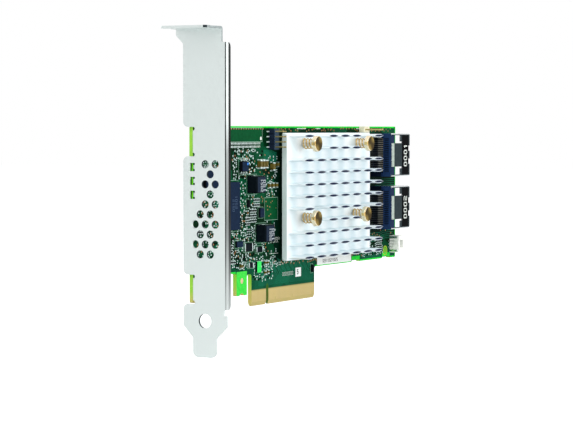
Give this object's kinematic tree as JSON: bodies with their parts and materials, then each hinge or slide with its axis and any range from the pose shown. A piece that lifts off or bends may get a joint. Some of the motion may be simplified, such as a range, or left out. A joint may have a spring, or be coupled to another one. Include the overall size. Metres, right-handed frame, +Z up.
{
  "type": "raid controller card",
  "caption": "Low-profile storage controller board on a full-height expansion bracket, with a pin-fin heatsink, card-edge contacts and right-angle cable ports.",
  "frame": {"origin": "middle of the key notch, in the board's mid-plane, at the foot of the card-edge contacts", "axes": "+X along the card from the bracket to the rear edge, +Y out of the solder side, +Z up away from the slot"},
  "size_m": [0.1845, 0.0214, 0.1201],
  "materials": {
    "bracket": "satin nickel plate",
    "screw_steel": "satin",
    "laminate": "solder mask",
    "gold": "gold plate",
    "aluminium": "bright satin",
    "brass": "polished",
    "spring_steel": "satin",
    "package": "matt",
    "pad": "matt",
    "shell_steel": "dark plate",
    "navy_plastic": "satin",
    "black_label": "satin",
    "black_plastic": "satin",
    "cream_plastic": "satin",
    "white_plastic": "satin",
    "tinned_leads": "tinned",
    "chip_mould": "matt",
    "inductor_mould": "matt",
    "ceramic": "satin",
    "resistor": "satin",
    "green_lacquer": "gloss",
    "lamp_lens": "gloss",
    "paper": "matt"
  },
  "bodies": {
    "root": {"backside_capacitors": "ceramic", "board_fuse": "green_lacquer", "board_labels": "paper", "bracket": "bracket", "bracket_screws": "screw_steel", "cable_header_contacts": "tinned_leads", "cable_header_housing": "white_plastic", "ceramic_capacitors": "ceramic", "chip_resistors": "resistor", "circuit_board": "laminate", "edge_contacts": "gold", "flash_chip": "chip_mould", "flash_leads": "tinned_leads", "heatsink": "aluminium", "heatsink_springs": "spring_steel", "lamp_header_body": "cream_plastic", "lamp_header_posts": "gold", "logic_chips": "chip_mould", "memory_chip": "chip_mould", "port_1_contacts": "tinned_leads", "port_1_housing": "navy_plastic", "port_1_label": "black_label", "port_1_shell": "shell_steel", "port_2_contacts": "tinned_leads", "port_2_housing": "navy_plastic", "port_2_label": "black_label", "port_2_shell": "shell_steel", "power_inductors": "inductor_mould", "push_pins": "brass", "raid_processor": "package", "regulator_chip": "chip_mould", "regulator_leads": "tinned_leads", "shunt_resistors": "black_plastic", "status_lamps": "lamp_lens", "test_header_body": "black_plastic", "test_header_posts": "gold", "thermal_pad": "pad", "transistors": "chip_mould"}
  },
  "joints": []
}
